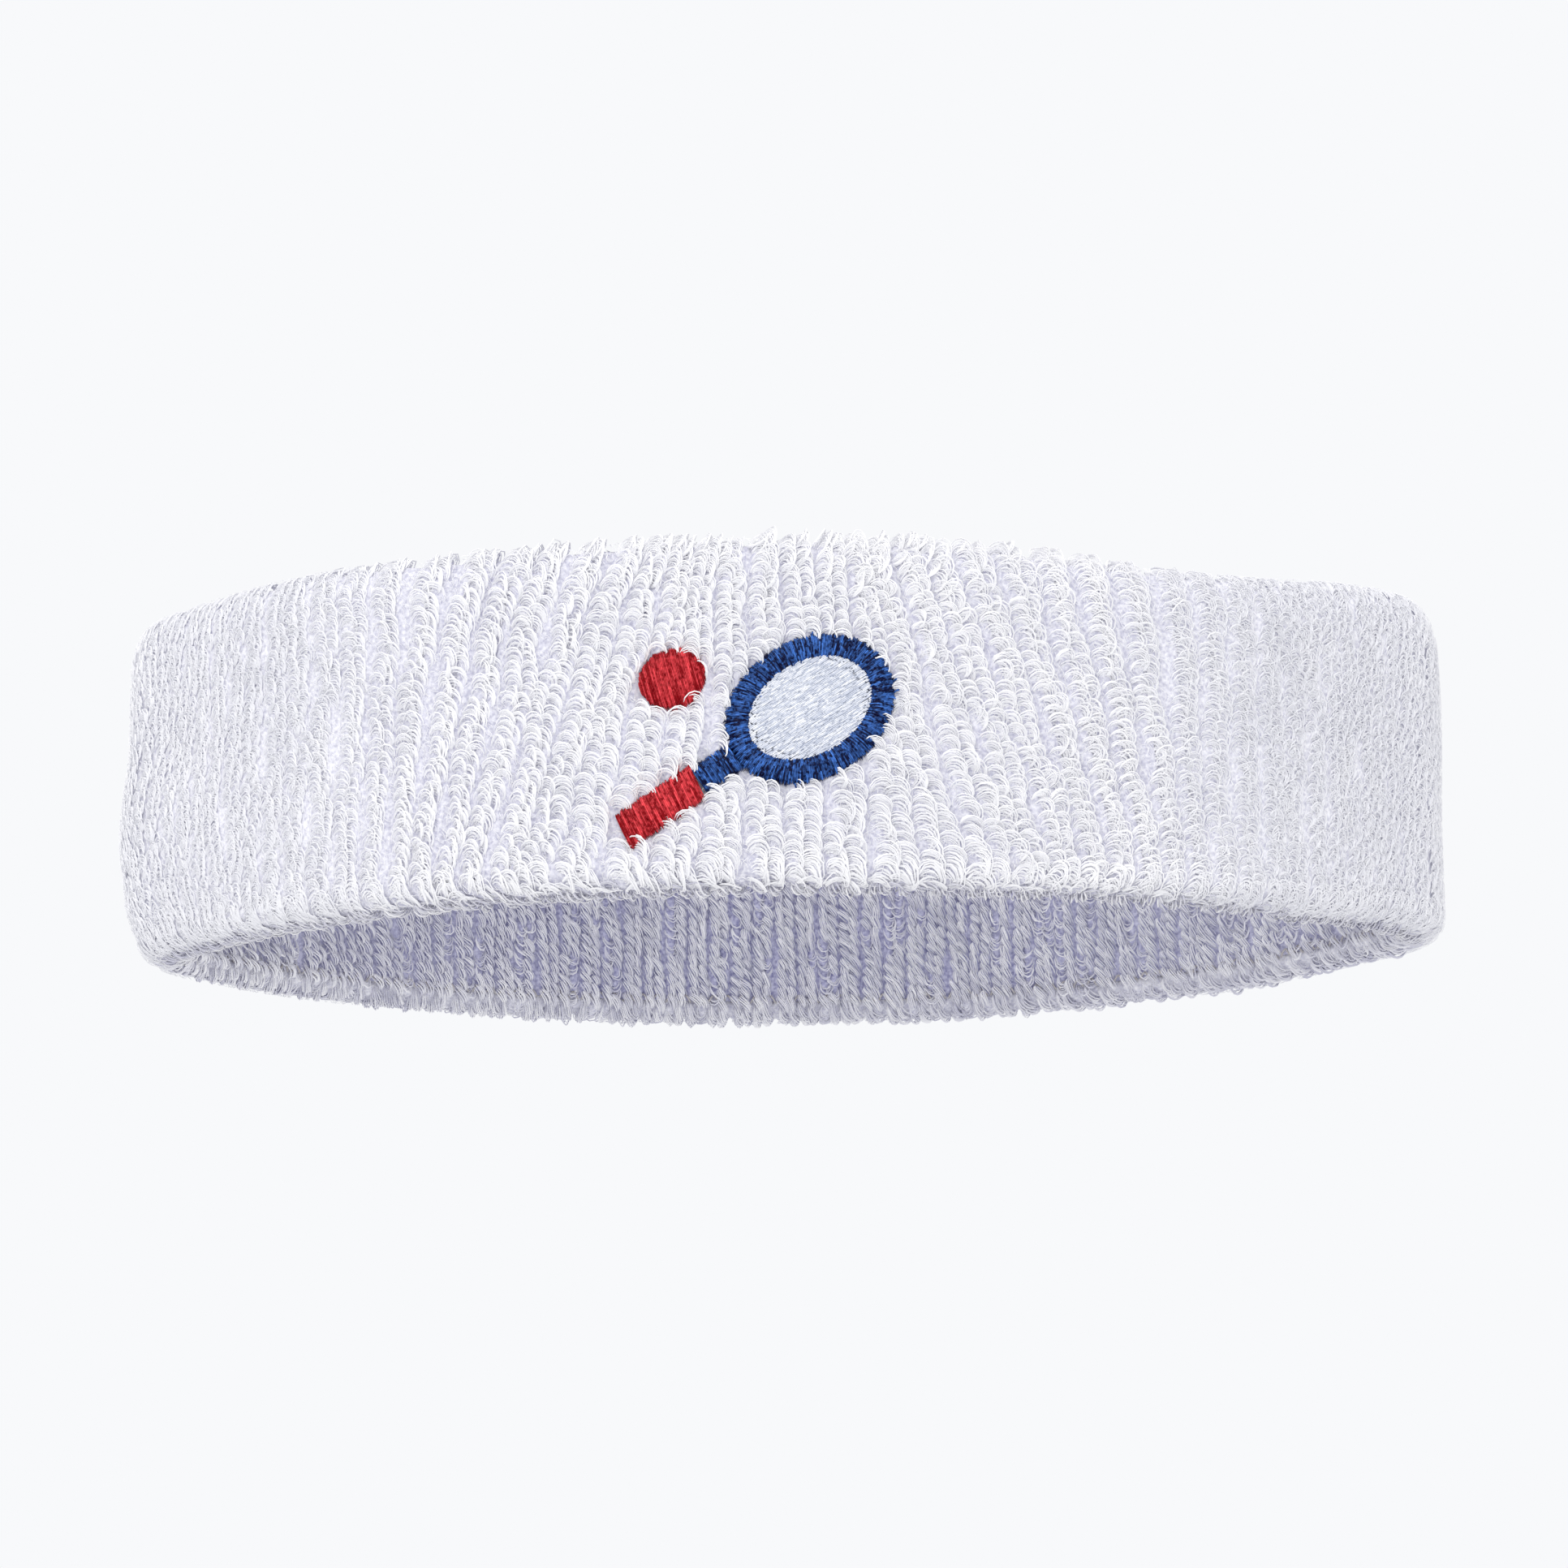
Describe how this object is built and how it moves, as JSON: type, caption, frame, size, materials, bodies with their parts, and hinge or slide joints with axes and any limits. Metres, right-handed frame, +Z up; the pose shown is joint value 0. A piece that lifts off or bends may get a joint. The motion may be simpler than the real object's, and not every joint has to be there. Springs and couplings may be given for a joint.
{
  "type": "sports headband",
  "caption": "Oval terry sweatband in two knitted layers with elastic threads inside and a small embroidered racket and ball on the front.",
  "frame": {"origin": "centre of the band's plan, at the height of the lower rim", "axes": "+Z up as worn, -Y towards the front with the embroidery, +X across the band to the viewer's right"},
  "size_m": [0.19, 0.1, 0.05],
  "materials": {
    "outer_terry": "white cotton loop pile",
    "inner_terry": "white cotton loop pile",
    "elastic": "cut natural rubber thread",
    "seam_thread": "white polyester thread",
    "backing": "non-woven stabiliser",
    "bobbin_thread": "white polyester thread",
    "blue_thread": "shiny satin stitch",
    "red_thread": "shiny satin stitch",
    "white_thread": "shiny fill stitch"
  },
  "bodies": {
    "root": {"outer_terry_layer": "outer_terry", "inner_terry_layer": "inner_terry", "elastic_thread_01": "elastic", "elastic_thread_02": "elastic", "elastic_thread_03": "elastic", "elastic_thread_04": "elastic", "elastic_thread_05": "elastic", "elastic_thread_06": "elastic", "elastic_thread_07": "elastic", "elastic_thread_08": "elastic", "elastic_thread_09": "elastic", "elastic_thread_10": "elastic", "elastic_thread_11": "elastic", "elastic_thread_12": "elastic", "closing_seam_thread": "seam_thread", "embroidery_backing": "backing", "embroidery_bobbin_thread": "bobbin_thread", "embroidered_racket_frame": "blue_thread", "embroidered_racket_shaft": "blue_thread", "embroidered_racket_grip": "red_thread", "embroidered_ball": "red_thread", "embroidered_string_bed": "white_thread"}
  },
  "joints": []
}
